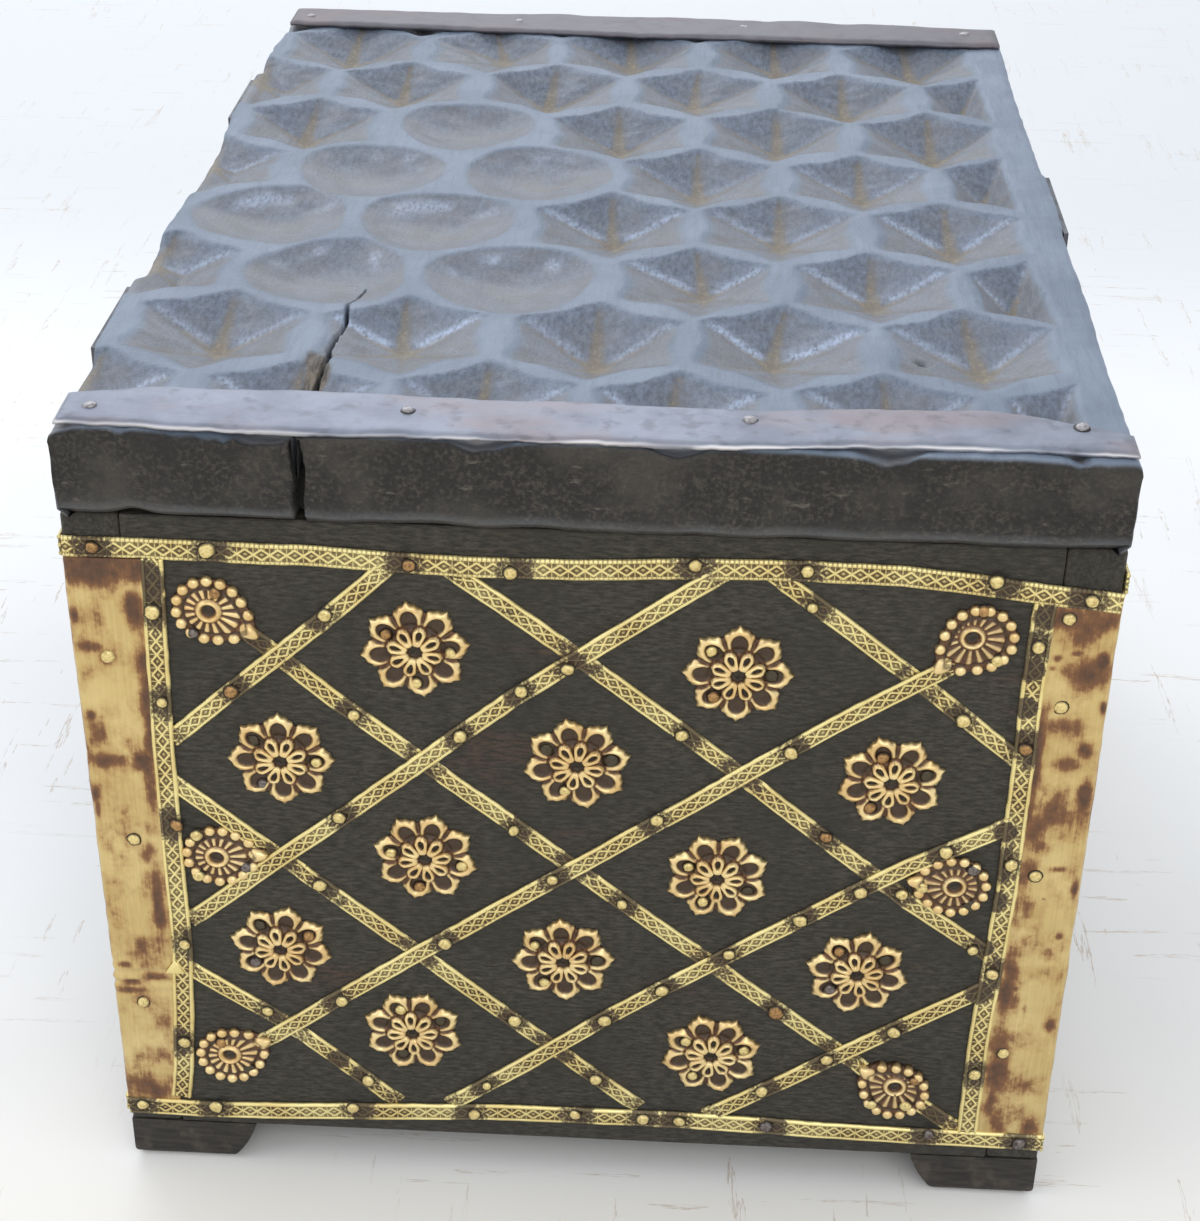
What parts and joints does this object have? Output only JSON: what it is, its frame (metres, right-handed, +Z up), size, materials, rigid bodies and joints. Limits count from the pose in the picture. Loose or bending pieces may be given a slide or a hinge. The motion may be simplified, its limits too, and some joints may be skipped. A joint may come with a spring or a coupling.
{
  "type": "damchiya chest",
  "caption": "Small wooden chest with a carved hinged lid, a hasp and staple, bracket feet, and nailed brass strips laid as a lattice with rosettes and drops between.",
  "frame": {"origin": "on the floor, under the middle of the chest", "axes": "+X from the hinged back to the hasp at the front, +Y along the length from the near end to the far end, +Z up"},
  "size_m": [0.2467, 0.312, 0.2124],
  "materials": {
    "body_wood": "old dark hardwood, rubbed and dry",
    "foot_wood": "dark hardwood, worn at the toes",
    "lid_wood": "near-black carved hardwood with a waxy sheen and dust in the pits",
    "border_brass": "pale pressed brass strip with dark recesses",
    "lattice_brass": "pale pressed brass strip with dark recesses",
    "sheet_brass": "smooth brass sheet with red-brown tarnish patches",
    "ornament_brass": "pressed brass, warmer, coppery in the recesses",
    "nail_brass": "small domed brass nail heads, worn bright",
    "hinge_brass": "brass blackened blue-grey, bare at its worn edges",
    "pin_iron": "dark iron wire",
    "staple_iron": "dark iron wire",
    "strap_metal": "dark blue-grey sheet with copper-coloured patches, bright at its worn edges",
    "strap_nail": "worn domed nail heads"
  },
  "bodies": {
    "carcass": {"back_board": "body_wood", "back_bottom_strip": "border_brass", "back_nails": "nail_brass", "back_top_strip": "border_brass", "back_upright_strips": "border_brass", "bottom_board": "body_wood", "corner_sheet_far_back": "sheet_brass", "corner_sheet_far_front": "sheet_brass", "corner_sheet_near_back": "sheet_brass", "corner_sheet_near_front": "sheet_brass", "end_board_far": "body_wood", "end_board_near": "body_wood", "far_bottom_strip": "border_brass", "far_drops": "ornament_brass", "far_lattice_over": "lattice_brass", "far_lattice_under": "lattice_brass", "far_nails": "nail_brass", "far_rosettes": "ornament_brass", "far_top_strip": "border_brass", "far_upright_strips": "border_brass", "foot_far_back": "foot_wood", "foot_far_front": "foot_wood", "foot_near_back": "foot_wood", "foot_near_front": "foot_wood", "front_board": "body_wood", "front_bottom_strip": "border_brass", "front_drops": "ornament_brass", "front_lattice_over": "lattice_brass", "front_lattice_under": "lattice_brass", "front_nails": "nail_brass", "front_rosettes": "ornament_brass", "front_top_strip": "border_brass", "front_upright_strips": "border_brass", "hinge_body_leaf_far": "hinge_brass", "hinge_body_leaf_near": "hinge_brass", "hinge_body_nails": "nail_brass", "hinge_pin_far": "pin_iron", "hinge_pin_near": "pin_iron", "near_bottom_strip": "border_brass", "near_drops": "ornament_brass", "near_lattice_over": "lattice_brass", "near_lattice_under": "lattice_brass", "near_nails": "nail_brass", "near_rosettes": "ornament_brass", "near_top_strip": "border_brass", "near_upright_strips": "border_brass", "staple": "staple_iron", "staple_plate": "hinge_brass"},
    "lid": {"lid_board": "lid_wood", "lid_strap_near": "strap_metal", "lid_strap_far": "strap_metal", "lid_strap_nails": "strap_nail", "hinge_lid_leaf_near": "hinge_brass", "hinge_lid_leaf_far": "hinge_brass", "hinge_lid_nails": "nail_brass", "hasp_plate": "hinge_brass", "hasp_pin": "pin_iron", "hasp_nails": "nail_brass"},
    "hasp": {"hasp_strap": "hinge_brass"}
  },
  "joints": [
    {"name": "lid_hinge", "type": "hinge", "parent": "carcass", "child": "lid", "pos_m": [-0.1184, 0, 0.1882], "axis": [0, -1, 0], "range_deg": [0, 180]},
    {"name": "hasp_hinge", "type": "hinge", "parent": "lid", "child": "hasp", "pos_m": [0.1172, 0, 0.191], "axis": [0, -1, 0], "range_deg": [-9, 165]}
  ]
}
